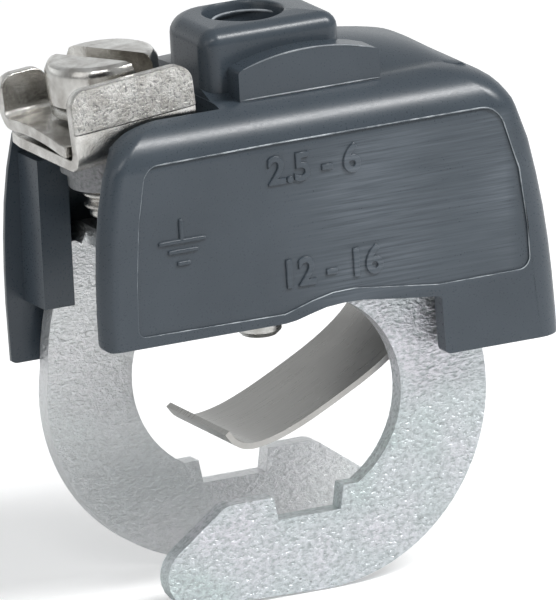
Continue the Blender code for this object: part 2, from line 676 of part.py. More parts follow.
def rounded_rectangle(x_range, y_range, radii, steps):
    """Outline that starts at the rear right corner; radii are rear right, rear left, front left, front right."""
    (left, right), (front, rear) = x_range, y_range
    corners = ((right, rear, -1, -1), (left, rear, 1, -1), (left, front, 1, 1), (right, front, -1, 1))
    outline = []
    for i, ((x, y, side_x, side_y), r) in enumerate(zip(corners, radii)):
        outline += arc((x + side_x * r, y + side_y * r), r, 90 * i, 90 * i + 90, steps)
    return outline


def stack_rings(name, rings, centre=None):
    """Closed solid through a stack of outlines; with a centre point, the top is closed as a fan to it."""
    bm = bmesh.new()
    loops = [[bm.verts.new(point) for point in ring] for ring in rings]
    count = len(loops[0])
    for lower, upper in zip(loops, loops[1:]):
        for i in range(count):
            j = (i + 1) % count
            bm.faces.new((lower[i], lower[j], upper[j], upper[i]))
    bm.faces.new(loops[0][::-1])
    if centre is None:
        bm.faces.new(loops[-1])
    else:
        tip = bm.verts.new(centre)
        for i in range(count):
            bm.faces.new((loops[-1][i], loops[-1][(i + 1) % count], tip))
    bmesh.ops.recalc_face_normals(bm, faces=bm.faces)
    mesh = bpy.data.meshes.new(name)
    bm.to_mesh(mesh)
    bm.free()
    return mesh


def shell_body(name, inset, left_end=None, bottom=None):
    """Loft of rounded rectangles: the housing's outside, or the same shape drawn in by the wall."""
    levels = shell_levels(inset)
    if bottom is not None:
        levels = [(bottom, levels[0][1], levels[0][2])] + levels
    left_r = max(0.3 * MM, LEFT_CORNER_R - inset)
    right_r = max(0.4 * MM, RIGHT_CORNER_R - inset)
    rings = []
    for z, half_depth, outer_z in levels:
        left = profile_at(LEFT_PROFILE, outer_z) + inset if left_end is None else left_end
        right = profile_at(RIGHT_PROFILE, outer_z) - inset
        radii = (right_r, left_r, left_r, right_r)
        outline = rounded_rectangle((left, right), (-half_depth, half_depth), radii, 6)
        rings.append([(x, y, z) for x, y in outline])
    return stack_rings(name, rings)


def tower_body():
    """Rounded block with a soft upper edge and a slight crown along X."""
    radii = (TOWER_REAR_R, TOWER_REAR_R, TOWER_FRONT_R, TOWER_FRONT_R)
    middle = sum(TOWER_X) / 2
    half = (TOWER_X[1] - TOWER_X[0]) / 2
    insets = [(0.0, 0.0)]
    for i in range(1, EDGE_STEPS + 1):
        angle = math.pi / 2 * i / EDGE_STEPS
        insets.append((TOWER_TOP_R * (1 - math.cos(angle)), TOWER_TOP_R * math.sin(angle)))
    reach = (TOWER_Y[1] - TOWER_Y[0]) / 2
    for share in (0.35, 0.6, 0.85):
        insets.append((TOWER_TOP_R + (reach - TOWER_TOP_R) * share, TOWER_TOP_R))

    def level(inset, rise):
        x_range = (TOWER_X[0] + inset, TOWER_X[1] - inset)
        y_range = (TOWER_Y[0] + inset, TOWER_Y[1] - inset)
        limit = (y_range[1] - y_range[0]) * 0.45
        ring = rounded_rectangle(x_range, y_range, [min(limit, max(r - inset, 0.3 * MM)) for r in radii], 6)
        return [(x, y, TOWER_TOP - TOWER_TOP_R + rise - TOWER_CROWN * ((x - middle) / half) ** 2) for x, y in ring]

    foot = [(x, y, HOUSING_TOP - WALL * 0.7) for x, y, z in level(0.0, 0.0)]
    rings = [foot] + [level(inset, rise) for inset, rise in insets]
    return stack_rings("tower", rings, (middle, sum(TOWER_Y) / 2, TOWER_TOP))


def platform_body():
    """Raised top: it rises from the front edge to a crest behind the middle, and falls away to the right."""
    depth = PLATFORM_HALF_DEPTH
    foot = HOUSING_TOP - WALL * 0.7
    start = HOUSING_TOP - 0.2 * MM
    rings = []
    for x, crest in smooth_path(mm_points(PLATFORM_CREST), 2):
        ring = [(x, depth, foot), (x, -depth, foot)]
        for i in range(PLATFORM_STEPS + 1):
            t = i / PLATFORM_STEPS
            y = -depth + (2 * depth - PLATFORM_EDGE_R) * t
            share = (y + depth) / (2 * depth)
            shape = 1 - ((share - PLATFORM_CREST_AT) / PLATFORM_CREST_AT) ** 2
            low = min(start, crest)
            ring.append((x, y, low + (crest - low) * shape))
        top = ring[-1][2]
        for angle in (30, 60, 90):
            turn = math.radians(angle)
            y = depth - PLATFORM_EDGE_R * (1 - math.sin(turn))
            ring.append((x, y, top - PLATFORM_EDGE_R * (1 - math.cos(turn))))
        rings.append(ring)
    return stack_rings("platform", rings)


def rib_body():
    """Front rib: a bar whose top is a shallow arc."""
    middle = (RIB_START + RIB_END) / 2
    half = (RIB_END - RIB_START) / 2
    foot = HOUSING_TOP - WALL * 0.6
    sweep = math.degrees(math.asin(half / RIB_TOP_R))
    top = arc((middle, RIB_TOP - RIB_TOP_R), RIB_TOP_R, 90 + sweep, 90 - sweep, 8)
    outline = fillet([(RIB_START, foot)] + top + [(RIB_END, foot)],
                     [0, RIB_CORNER_R] + [0] * 7 + [RIB_CORNER_R, 0], 4)
    return prism("front_rib", [outline], -RIB_FRONT, -RIB_FRONT + RIB_DEPTH)


def skirt_profile(tab_left, tab_right):
    """Line of the lower edge from left to right, in X and Z; the rear line mirrors the front one."""
    left = profile_at(LEFT_PROFILE, SKIRT_BOTTOM)
    right = profile_at(RIGHT_PROFILE, TAB_BOTTOM)
    r = BOTTOM_CORNER_R
    start_z = TAB_BOTTOM if tab_left else SKIRT_BOTTOM
    end_z = TAB_BOTTOM if tab_right else SKIRT_BOTTOM
    past = 3 * MM
    line = [(left - past, start_z + r)]
    line += arc((left + r, start_z + r), r, 180, 270, 5)
    arch = [(x * MM, SKIRT_BOTTOM + rise * MM) for x, rise in ARCH_PROFILE]
    if tab_left:
        arch = [(2 * HOUSING_MIDDLE * MM - x, z) for x, z in arch[::-1]]
        line += fillet([line[-1], (tab_left, start_z), (tab_left + 0.1 * MM, SKIRT_BOTTOM), arch[0]],
                       [0, 0.4 * MM, 0.35 * MM, 0], 4)[1:-1]
    line += arch
    if tab_right:
        line += fillet([arch[-1], (tab_right - 0.1 * MM, SKIRT_BOTTOM), (tab_right, end_z), (right - past, end_z)],
                       [0, 0.35 * MM, 0.4 * MM, 0], 4)[1:]
    line += arc((right - r, end_z + r), r, 270, 360, 5)
    line += [(right + past, end_z + r)]
    return line


def make_housing():
    housing = add_object("housing", shell_body("housing", 0.0), PARTS, HOUSING_PLASTIC)
    # Shallow label panel on the front
    outline = fillet(mm_points([point for point, _ in LABEL_CORNERS]), [r * MM for _, r in LABEL_CORNERS], 5, True)
    panel_mesh = prism("label_panel", [outline], -HOUSING_HALF_DEPTH - WALL, -HOUSING_HALF_DEPTH + SHOULDER_R / 2)
    panel = add_cutter("label_panel", panel_mesh)
    core = add_cutter("label_floor", shell_body("label_floor", LABEL_DEPTH))
    combine(panel, core, "DIFFERENCE")
    combine(housing, panel, "DIFFERENCE")
    # Raised top
    combine(housing, add_cutter("platform", platform_body()), "UNION")
    combine(housing, add_cutter("front_rib", rib_body()), "UNION")
    combine(housing, add_cutter("tower", tower_body()), "UNION")
    # Inside
    cavity_left = 1.7 * LEFT_PROFILE[0][1] * MM
    cavity = shell_body("cavity", WALL, left_end=cavity_left, bottom=-TAB_BOTTOM)
    combine(housing, add_cutter("cavity", cavity), "DIFFERENCE")
    # Lower edges
    floor = -2 * TAB_BOTTOM
    wrap = -HOUSING_HALF_DEPTH + TAB_WRAP
    past = HOUSING_HALF_DEPTH * 1.4
    trims = []
    for name, line, start, end in (("front_trim", skirt_profile(None, FRONT_TAB_START), -past, wrap + MM),
                                   ("rear_trim", skirt_profile(REAR_TAB_END, None), wrap, past)):
        outline = [(line[0][0], floor)] + line + [(line[-1][0], floor)]
        trims.append(add_cutter(name, prism(name, [outline], start, end)))
    combine(trims[1], trims[0], "UNION")
    combine(housing, trims[1], "DIFFERENCE")
    # Terminal opening in the top
    low_cut = HOUSING_TOP - 9 * MM
    opening = box("terminal_opening", (cavity_left, -TERMINAL_CUT_HALF, low_cut),
                  (TERMINAL_CUT_END, TERMINAL_CUT_HALF, TOWER_TOP))
    combine(housing, add_cutter("terminal_opening", opening), "DIFFERENCE")
    # Sleeve that guides the pressing screw's head
    chamber_r = MAIN_HEAD_R + HEAD_CHAMBER_CLEARANCE
    head_top = MAIN_TIP_Z + MAIN_SHANK_LENGTH + MAIN_HEAD_HEIGHT + MAIN_TRAVEL_UP
    chamber_top = head_top + PIECE_GAP
    sleeve_top = HOUSING_TOP - WALL / 2
    sleeve = lathe("sleeve", [(0, sleeve_top), (chamber_r + SLEEVE_WALL, sleeve_top),
                              (chamber_r + SLEEVE_WALL, SLEEVE_BOTTOM), (0, SLEEVE_BOTTOM)])
    combine(housing, add_cutter("sleeve", sleeve), "UNION")
    chamber = lathe("chamber", [(0, chamber_top), (chamber_r, chamber_top), (chamber_r, SLEEVE_BOTTOM - MM),
                                (0, SLEEVE_BOTTOM - MM)])
    combine(housing, add_cutter("chamber", chamber), "DIFFERENCE")
    lip = FUNNEL_LIP_R
    funnel = lathe("funnel", [(0, TOWER_TOP + MM), (FUNNEL_R + lip + 0.4 * MM, TOWER_TOP + MM),
                              (FUNNEL_R + lip, TOWER_TOP), (FUNNEL_R + 0.3 * lip, TOWER_TOP - 0.3 * lip),
                              (FUNNEL_R, TOWER_TOP - lip), (FUNNEL_THROAT_R, TOWER_TOP - FUNNEL_DEPTH),
                              (FUNNEL_THROAT_R, chamber_top - MM), (0, chamber_top - MM)])
    combine(housing, add_cutter("funnel", funnel), "DIFFERENCE")
    # Guides around the outer edge of each leg
    guide_low = SKIRT_BOTTOM + PIECE_GAP
    guide_high = HOUSING_TOP - SHOULDER_R - WALL
    leg_edge = leg_edge_x(guide_low) + PIECE_GAP
    lip_edge = leg_edge_x(WEB_TOP - FRAME_SHEET - FRAME_BEND_R) + PIECE_GAP
    inner_face = LEG_INNER - PIECE_GAP
    skin_y = HOUSING_HALF_DEPTH - WALL / 2
    for side in (-1, 1):
        hook_shape = [(leg_edge, skin_y), (leg_edge + GUIDE_WALL, skin_y),
                      (leg_edge + GUIDE_WALL, inner_face - GUIDE_WALL),
                      (lip_edge, inner_face - GUIDE_WALL), (lip_edge, inner_face), (leg_edge, inner_face)]
        hook_shape = [(side * x, -side * y) for x, y in hook_shape]
        guide = prism("leg_guide", [hook_shape], guide_low, guide_high, "XY")
        combine(housing, add_cutter("leg_guide", guide), "UNION")
        xs = sorted((side * PAD_X, side * (PAD_X + GUIDE_WALL)))
        ys = sorted((-side * (LEG_FACE + PIECE_GAP), -side * skin_y))
        pad = box("guide_pad", (xs[0], ys[0], guide_low + 1.6 * MM), (xs[1], ys[1], guide_high))
        combine(housing, add_cutter("guide_pad", pad), "UNION")
    return finish(housing)


clear_scene()
PARTS = new_collection("earthing_pipe_clamp")
CUTTERS = new_collection("cutters")
CUTTERS.hide_render = True

HOUSING_PLASTIC = material("housing_plastic", (0.095, 0.115, 0.135), 0.0, 0.42)
ZINC_STEEL = material("zinc_plated_steel", (0.62, 0.65, 0.62), 1.0, 0.42)
LEAF_STEEL = material("leaf_steel", (0.50, 0.49, 0.46), 1.0, 0.38)
SCREW_STEEL = material("screw_steel", (0.55, 0.56, 0.56), 1.0, 0.35)
TERMINAL_PLATE = material("nickel_plate", (0.72, 0.71, 0.69), 1.0, 0.28)
WASHER_STEEL = material("washer_steel", (0.60, 0.58, 0.56), 1.0, 0.35)

TERMINAL_FRAME = (Matrix.Translation((TERMINAL_X, 0.0, TERMINAL_Z)) @ Matrix.Rotation(-TERMINAL_TILT, 4, "Y"))

make_housing()
make_clamp_frame()
make_contact_leaf()
make_main_screw()
make_lower_saddle()
make_upper_saddle()
make_spring_washer()
make_terminal_screw()
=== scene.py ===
"""Looks of the earthing pipe clamp: plastic housing, plated stirrup, spring leaf and wire terminal.

Lengths are in millimetres, turned into metres with MM. The frame's X runs along the housing,
Y along the pipe and Z up; the origin is on the pipe's axis, midway between the hooks.
"""
import json
import math

import bmesh
import bpy
import numpy as np
from mathutils import Matrix, Vector


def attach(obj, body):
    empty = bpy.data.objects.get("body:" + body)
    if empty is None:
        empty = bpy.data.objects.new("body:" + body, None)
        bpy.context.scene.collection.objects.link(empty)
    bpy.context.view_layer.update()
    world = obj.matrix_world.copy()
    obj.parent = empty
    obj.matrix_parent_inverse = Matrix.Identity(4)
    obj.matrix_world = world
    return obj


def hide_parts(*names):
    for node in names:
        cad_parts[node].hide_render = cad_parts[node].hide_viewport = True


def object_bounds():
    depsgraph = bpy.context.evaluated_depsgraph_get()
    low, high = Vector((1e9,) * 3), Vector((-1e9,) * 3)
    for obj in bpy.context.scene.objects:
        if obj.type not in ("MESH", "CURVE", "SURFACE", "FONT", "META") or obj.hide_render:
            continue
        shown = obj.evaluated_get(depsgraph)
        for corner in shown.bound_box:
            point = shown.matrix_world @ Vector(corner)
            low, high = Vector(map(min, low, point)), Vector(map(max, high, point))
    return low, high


MM = 0.001
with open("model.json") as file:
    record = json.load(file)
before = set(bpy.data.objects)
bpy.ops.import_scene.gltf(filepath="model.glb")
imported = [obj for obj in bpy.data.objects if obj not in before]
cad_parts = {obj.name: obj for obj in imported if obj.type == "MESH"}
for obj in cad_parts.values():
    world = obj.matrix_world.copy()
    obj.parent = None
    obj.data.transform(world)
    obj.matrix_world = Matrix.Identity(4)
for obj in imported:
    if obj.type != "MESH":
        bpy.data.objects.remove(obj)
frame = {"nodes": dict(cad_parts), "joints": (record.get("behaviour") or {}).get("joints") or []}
cad_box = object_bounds()
joints = {joint["name"]: joint for joint in frame["joints"]}

# Viewpoint, from the photograph
VIEW_LEFT = math.radians(25.5)
VIEW_UP = math.radians(15.0)
VIEW_ROLL = math.radians(3.0)
PIXELS_PER_MM = 12.0
ORIGIN_PIXEL = (262.0, 381.0)
FRAME_PIXELS = (556.0, 600.0)
CAMERA_DISTANCE = 1600.0 * MM
SENSOR = 36.0

FLOOR_Z = cad_box[0][2] - 0.1 * MM

# Front panel of the housing: two points of its face, in Y and Z, which leans in slightly towards the top
PANEL_LOW = (-10.2, 2.0)
PANEL_HIGH = (-9.8, 22.2)
PANEL_SLOPE = (PANEL_HIGH[0] - PANEL_LOW[0]) / (PANEL_HIGH[1] - PANEL_LOW[1])

# Terminal screw, in its own frame: Z along the screw, X along the housing
TERMINAL_TILT = math.radians(-5.0)
TERMINAL = Matrix.Translation(joints["wire_screw_turn"]["pos_m"]) @ Matrix.Rotation(TERMINAL_TILT, 4, "Y")
STUD_RANGE = (-5.95, 4.25)
STUD_RADIUS = 3.0
PRESSING_RANGE = (6.5, 19.1)
PRESSING_RADIUS = 3.0
THREAD_PITCH = 1.0
THREAD_DEPTH = 0.45
THREAD_RUNOUT = 0.6
THREAD_STEPS = 14
THREAD_SIDES = 48

# A shank under a thread: how near the thread's radius its points lie, and the share of the depth they move in
SHANK_REACH = 0.04
SLIM_SHARE = 1.3

# Front lip of the lower saddle, in the terminal's frame
LIP_FACE = -6.9
LIP_SPAN = (-6.28, 4.93)
LIP_TOP = 7.08
LIP_CORNER_R = 1.5
LIP_STAMP_FOOT = 3.45
LIP_STAMP_RISE = 0.10
LEDGE_SPAN = (-6.2, 4.9)
LEDGE_HEIGHT = 3.42
LEDGE_R = 0.08
LEDGE_PROUD = 0.02

# Sunk label panel: corners in X and Z, each with its radius
LABEL_CORNERS = (((-15.9, 8.5), 0.7), ((-15.75, 13.0), 0), ((-15.3, 18.0), 0), ((-14.4, 22.8), 1.5),
                 ((-3.0, 22.95), 0), ((18.3, 22.95), 2.2), ((19.9, 17.3), 0), ((20.4, 12.5), 0),
                 ((20.45, 8.65), 1.1), ((11.9, 8.6), 0), ((6.1, 9.3), 0), ((4.1, 9.55), 0), ((2.1, 9.5), 0),
                 ((0.2, 9.1), 0), ((-2.4, 8.35), 0))
BEAD_LIFT = 0.12
BEAD_R = 0.07
BEAD_SIDES = 8

# Raised marks on the panel: numerals as text and place, bars as name, place across and up, length and width
MARK_HEIGHT = 0.20
NUMERAL_HEIGHT = 3.3
NUMERAL_DEPTH = MARK_HEIGHT * 0.6
NUMERAL_EDGE = 0.08
NUMERAL_SWELL = 0.02
NUMERAL_WELD = 0.001
WIRE_SIZES = ("2.5 - 6", -3.2, 19.5)
PIPE_SIZES = ("12 - 16", -2.6, 10.6)
EARTH_MARK = (-11.4, 16.08)
EARTH_BARS = (("stem", 0.0, 0.95, 0.42, 1.9), ("wide", 0.05, 0.0, 4.4, 0.42),
              ("middle", 0.1, -0.83, 2.8, 0.42), ("short", 0.1, -1.88, 1.25, 0.42))

# Front rib and the funnel in the tower
RIB_FACE = -7.0
RIB_REAR = RIB_FACE + 2.6
RIB_FOOT = 26.2
RIB_MIDDLE, RIB_TOP, RIB_TOP_R = 2.5, 29.75, 20.0
RIB_FRONT_SPAN = (-3.75, 8.75)
RIB_REAR_SPAN = (-0.6, 3.8)
RIB_FOOT_SPAN = (-3.9, 9.2)
RIB_FRONT_R, RIB_REAR_R, RIB_FOOT_R = 0.085, 0.06, 0.07
TOWER_MIDDLE = (0.4, -0.2)
FUNNEL_RING_R, FUNNEL_RING_Z, FUNNEL_RING_THICK = 3.02, 31.1, 0.12

# Softened edges of the copied solids
MERGE_REACH = 0.002
FLAT_ANGLE = math.radians(0.6)
BEVEL_ANGLE = math.radians(32.0)

# Studio: each lamp as name, place, aim, size, power and the direction of its length
WORLD_STRENGTH = 0.47
HORIZON = 1.5
DARK_CARD = (-0.50, -0.83, 0.24)
FLOOR_LIFT = 0.30
FLOOR_REACH = 1.5
LAMPS = (("shoulder_strip", (0.26, -0.24, 0.37), (0.0, 0.0, 0.02), (0.30, 0.10), 2.1, (1.0, 0.0, 0.0)),
         ("key_soft", (-0.22, -0.30, 0.34), (0.0, 0.0, 0.01), (0.20, 0.10), 0.30, (1.0, 0.0, 0.0)),
         ("left_card", (-0.34, -0.10, 0.16), (0.0, 0.0, 0.01), (0.20, 0.20), 0.10, (0.0, 1.0, 0.0)))


# Materials

def new_material(name, base, metallic, roughness):
    """Material with one plain shader; gives back the material, its nodes and the shader."""
    mat = bpy.data.materials.new(name)
    mat.use_nodes = True
    shader = mat.node_tree.nodes["Principled BSDF"]
    shader.inputs["Base Color"].default_value = (*base, 1.0)
    shader.inputs["Metallic"].default_value = metallic
    shader.inputs["Roughness"].default_value = roughness
    return mat, mat.node_tree, shader


def node(tree, kind, **values):
    """New node with its settings."""
    made = tree.nodes.new(kind)
    for key, value in values.items():
        setattr(made, key, value)
    return made


def object_coordinates(tree, scale=(1.0, 1.0, 1.0)):
    """Object coordinates in millimetres, stretched by scale."""
    where = node(tree, "ShaderNodeTexCoord")
    mapping = node(tree, "ShaderNodeMapping")
    mapping.inputs["Scale"].default_value = [1000.0 * s for s in scale]
    tree.links.new(where.outputs["Object"], mapping.inputs["Vector"])
    return mapping.outputs["Vector"]


def split(tree, vector):
    """X, Y and Z of a vector."""
    made = node(tree, "ShaderNodeSeparateXYZ")
    tree.links.new(vector, made.inputs["Vector"])
    return made.outputs


def noise(tree, vector, scale, detail=3.0, rough=0.55):
    """Cloudy value; scale is in clouds per millimetre."""
    made = node(tree, "ShaderNodeTexNoise")
    made.inputs["Scale"].default_value = scale
    made.inputs["Detail"].default_value = detail
    made.inputs["Roughness"].default_value = rough
    tree.links.new(vector, made.inputs["Vector"])
    return made.outputs["Fac"]


def spread(tree, value, low, high, to_low, to_high):
    """Value carried in a straight line from one range to another, and held at the ends."""
    made = node(tree, "ShaderNodeMapRange")
    for name, number in (("From Min", low), ("From Max", high), ("To Min", to_low), ("To Max", to_high)):
        made.inputs[name].default_value = number
    tree.links.new(value, made.inputs["Value"])
    return made.outputs["Result"]


def sums(tree, operation, first, second):
    """Math node on two sockets, or on a socket and a number."""
    made = node(tree, "ShaderNodeMath", operation=operation)
    for slot, value in enumerate((first, second)):
        if isinstance(value, (int, float)):
            made.inputs[slot].default_value = value
        else:
            tree.links.new(value, made.inputs[slot])
    return made.outputs["Value"]


def tint(tree, value, dark, light):
    """Colour between dark and light; either may be another colour socket."""
    made = node(tree, "ShaderNodeMix", data_type="RGBA")
    tree.links.new(value, made.inputs["Factor"])
    for socket, colour in (("A", dark), ("B", light)):
        target = [i for i in made.inputs if i.name == socket and i.type == "RGBA"][0]
        if isinstance(colour, tuple):
            target.default_value = (*colour, 1.0)
        else:
            tree.links.new(colour, target)
    return [o for o in made.outputs if o.type == "RGBA"][0]


def bump(tree, shader, height, strength, distance_mm):
    """Small relief in the shading only."""
    made = node(tree, "ShaderNodeBump")
    made.inputs["Strength"].default_value = strength
    made.inputs["Distance"].default_value = distance_mm * MM
    tree.links.new(height, made.inputs["Height"])
    tree.links.new(made.outputs["Normal"], shader.inputs["Normal"])


def housing_plastic():
    """Blue-grey moulded plastic: fine grain, faint flow clouds, and level rub marks on the front panel."""
    mat, tree, shader = new_material("housing_plastic_look", (0.055, 0.067, 0.081), 0.0, 0.30)
    vector = object_coordinates(tree)
    x, y, z = split(tree, vector)
    clouds = noise(tree, vector, 0.12, 2.0)
    plain = tint(tree, spread(tree, clouds, 0.3, 0.7, 0.0, 1.0), (0.043, 0.056, 0.070),
                 (0.052, 0.067, 0.083))
    rubs = noise(tree, object_coordinates(tree, (0.12, 0.3, 4.5)), 1.0, 4.0, 0.65)
    patches = noise(tree, object_coordinates(tree, (0.10, 0.3, 0.16)), 1.0, 1.0)
    front = sums(tree, "MULTIPLY", spread(tree, y, -9.2, -9.7, 0.0, 1.0),
                 spread(tree, x, -4.0, 4.0, 0.0, 1.0))
    band = sums(tree, "MULTIPLY", spread(tree, z, 8.2, 9.0, 0.0, 1.0), spread(tree, z, 21.8, 22.8, 1.0, 0.0))
    inside = sums(tree, "MULTIPLY", spread(tree, x, 18.6, 19.8, 1.0, 0.0), band)
    rubbed = sums(tree, "MULTIPLY", sums(tree, "MULTIPLY", front, inside),
                  sums(tree, "MULTIPLY", spread(tree, rubs, 0.34, 0.72, 0.0, 1.0),
                       spread(tree, patches, 0.35, 0.65, 0.35, 1.0)))
    tree.links.new(tint(tree, rubbed, plain, (0.135, 0.157, 0.183)), shader.inputs["Base Color"])
    grain = noise(tree, vector, 6.0, 2.0)
    matt = spread(tree, grain, 0.3, 0.7, 0.26, 0.35)
    tree.links.new(sums(tree, "ADD", matt, sums(tree, "MULTIPLY", rubbed, 0.10)), shader.inputs["Roughness"])
    bump(tree, shader, sums(tree, "ADD", grain, sums(tree, "MULTIPLY", rubbed, 0.8)), 0.22, 0.015)
    return mat


def painted_highlight_edge(name, dull, pale):
    """Sharp moulded edge, glossy and with a painted highlight, pale in places."""
    mat, tree, shader = new_material(name, dull, 0.0, 0.22)
    highlight_patches = noise(tree, object_coordinates(tree), 0.35, 3.0, 0.6)
    fine = noise(tree, object_coordinates(tree), 3.0, 2.0)
    # Painted highlight: the colour runs from dull to pale in patches along the edge.
    tree.links.new(tint(tree, spread(tree, highlight_patches, 0.42, 0.62, 0.0, 1.0), dull, pale),
                   shader.inputs["Base Color"])
    tree.links.new(spread(tree, fine, 0.3, 0.7, 0.16, 0.30), shader.inputs["Roughness"])
    bump(tree, shader, fine, 0.2, 0.01)
    return mat


def zinc_sheet():
    """Zinc-plated sheet: pale satin metal with a leathery grain stretched level, faint green and lilac
    clouds, painted light on the rear hook and painted shade on the tongue under the terminal."""
    mat, tree, shader = new_material("zinc_sheet_look", (0.78, 0.80, 0.81), 1.0, 0.40)
    vector = object_coordinates(tree, (0.6, 1.0, 1.0))
    x, y, z = split(tree, object_coordinates(tree))
    fine = noise(tree, vector, 3.4, 3.0, 0.6)
    specks = noise(tree, vector, 2.6, 4.0, 0.7)
    clouds = noise(tree, object_coordinates(tree), 0.12, 2.0)
    film = tint(tree, spread(tree, clouds, 0.36, 0.64, 0.0, 1.0), (0.66, 0.74, 0.74), (0.80, 0.79, 0.84))
    mottled = tint(tree, spread(tree, fine, 0.32, 0.58, 0.0, 1.0), (0.46, 0.50, 0.51), film)
    dark = spread(tree, specks, 0.29, 0.37, 0.9, 0.0)
    plated = tint(tree, dark, mottled, (0.30, 0.32, 0.32))
    # Painted light: towards the rear hook the colour is lifted towards white.
    rear = tint(tree, spread(tree, y, 1.0, 4.0, 0.0, 0.65), plated, (1.0, 1.0, 1.0))
    # Painted shade: the tongue under the terminal is darkened.
    tongue = sums(tree, "MULTIPLY", spread(tree, x, -8.0, -7.0, 0.75, 0.0),
                  spread(tree, z, 13.5, 15.0, 0.0, 1.0))
    tree.links.new(tint(tree, tongue, rear, (0.10, 0.10, 0.10)), shader.inputs["Base Color"])
    tree.links.new(spread(tree, clouds, 0.3, 0.7, 0.28, 0.40), shader.inputs["Roughness"])
    bump(tree, shader, sums(tree, "ADD", fine, sums(tree, "MULTIPLY", specks, 0.6)), 1.0, 0.16)
    return mat


def spring_strip():
    """Satin spring strip: grey-brown, a heat-darkened cloud near its fixed end and faint lines along it."""
    mat, tree, shader = new_material("spring_strip_look", (0.55, 0.54, 0.51), 1.0, 0.36)
    lines = noise(tree, object_coordinates(tree, (0.15, 3.0, 0.15)), 2.2, 3.0)
    vector = object_coordinates(tree)
    along = split(tree, vector)["X"]
    clouds = noise(tree, vector, 0.25, 3.0)
    warm = tint(tree, spread(tree, lines, 0.3, 0.7, 0.0, 1.0), (0.46, 0.45, 0.43), (0.58, 0.57, 0.55))
    heat = sums(tree, "MULTIPLY", spread(tree, along, 1.0, 9.0, 0.0, 0.75),
                spread(tree, clouds, 0.35, 0.6, 0.5, 1.0))
    tree.links.new(tint(tree, heat, warm, (0.36, 0.35, 0.34)), shader.inputs["Base Color"])
    tree.links.new(spread(tree, lines, 0.3, 0.7, 0.26, 0.38), shader.inputs["Roughness"])
    bump(tree, shader, lines, 0.12, 0.01)
    return mat


def nickel_plate(name, grain, shade=1.0):
    """Bright nickel plate over a pitted pressing; grain gives the depth of the pits, and shade darkens it
    as painted shade.
    """
    mat, tree, shader = new_material(name, (0.80, 0.79, 0.76), 1.0, 0.24)
    vector = object_coordinates(tree)
    pits = noise(tree, vector, 4.2, 4.0, 0.65)
    stains = noise(tree, vector, 0.6, 3.0)
    clean = tint(tree, spread(tree, stains, 0.35, 0.65, 0.0, 1.0), (0.50 * shade, 0.48 * shade, 0.45 * shade),
                 (0.80 * shade, 0.79 * shade, 0.76 * shade))
    dark = spread(tree, pits, 0.34, 0.50, 0.75 * grain, 0.0)
    tree.links.new(tint(tree, dark, clean, (0.22, 0.22, 0.22)), shader.inputs["Base Color"])
    tree.links.new(spread(tree, pits, 0.3, 0.7, 0.11 + 0.15 * grain, 0.22 + 0.20 * grain),
                   shader.inputs["Roughness"])
    bump(tree, shader, pits, 0.3 + 0.7 * grain, 0.03 + 0.22 * grain)
    return mat


def screw_steel():
    """Plated screw steel with fine turning marks."""
    mat, tree, shader = new_material("screw_steel_look", (0.62, 0.62, 0.60), 1.0, 0.30)
    marks = noise(tree, object_coordinates(tree, (0.5, 0.5, 4.0)), 2.0, 3.0)
    stains = noise(tree, object_coordinates(tree), 0.8, 3.0)
    stained = tint(tree, spread(tree, stains, 0.35, 0.65, 0.0, 1.0), (0.50, 0.49, 0.46), (0.70, 0.70, 0.68))
    tree.links.new(stained, shader.inputs["Base Color"])
    tree.links.new(spread(tree, marks, 0.3, 0.7, 0.22, 0.38), shader.inputs["Roughness"])
    bump(tree, shader, marks, 0.15, 0.01)
    return mat


# Surfaces

def grid_mesh(name, points, mat):
    """Closed surface through rings of points, shaped (rings, points, 3); a fan closes each end."""
    rings, around, _ = points.shape
    ends = points[[0, -1]].mean(axis=1)
    vertices = np.concatenate([points.reshape(-1, 3), ends])
    ring, step = np.meshgrid(np.arange(rings - 1), np.arange(around), indexing="ij")
    here = (ring * around + step).ravel()
    beside = (ring * around + (step + 1) % around).ravel()
    quads = np.stack([here, beside, beside + around, here + around], axis=1)
    step = np.arange(around)
    beside = (step + 1) % around
    first, last = rings * around, rings * around + 1
    top = (rings - 1) * around
    low_fan = np.stack([beside, step, np.full(around, first)], axis=1)
    high_fan = np.stack([top + step, top + beside, np.full(around, last)], axis=1)
    mesh = bpy.data.meshes.new(name)
    mesh.from_pydata(vertices.tolist(), [], quads.tolist() + low_fan.tolist() + high_fan.tolist())
    mesh.materials.append(mat)
    mesh.polygons.foreach_set("use_smooth", np.ones(len(mesh.polygons), dtype=bool))
    return mesh


def wrapped_mesh(name, points, mat):
    """Closed surface whose rings of points, shaped (rings, points, 3), also join last to first."""
    count, around, _ = points.shape
    ring, step = np.meshgrid(np.arange(count), np.arange(around), indexing="ij")
    after, beside = (ring + 1) % count, (step + 1) % around
    quads = np.stack([ring * around + step, after * around + step, after * around + beside,
                      ring * around + beside], axis=2)
    mesh = bpy.data.meshes.new(name)
    mesh.from_pydata(points.reshape(-1, 3).tolist(), [], quads.reshape(-1, 4).tolist())
    mesh.materials.append(mat)
    mesh.polygons.foreach_set("use_smooth", np.ones(len(mesh.polygons), dtype=bool))
    return mesh


def place_mesh(mesh, body, matrix=None):
    """Object at the origin for a mesh, which a matrix may move first; it rides on a body."""
    if matrix is not None:
        mesh.transform(matrix)
    piece = bpy.data.objects.new(mesh.name, mesh)
    bpy.context.scene.collection.objects.link(piece)
    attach(piece, body)


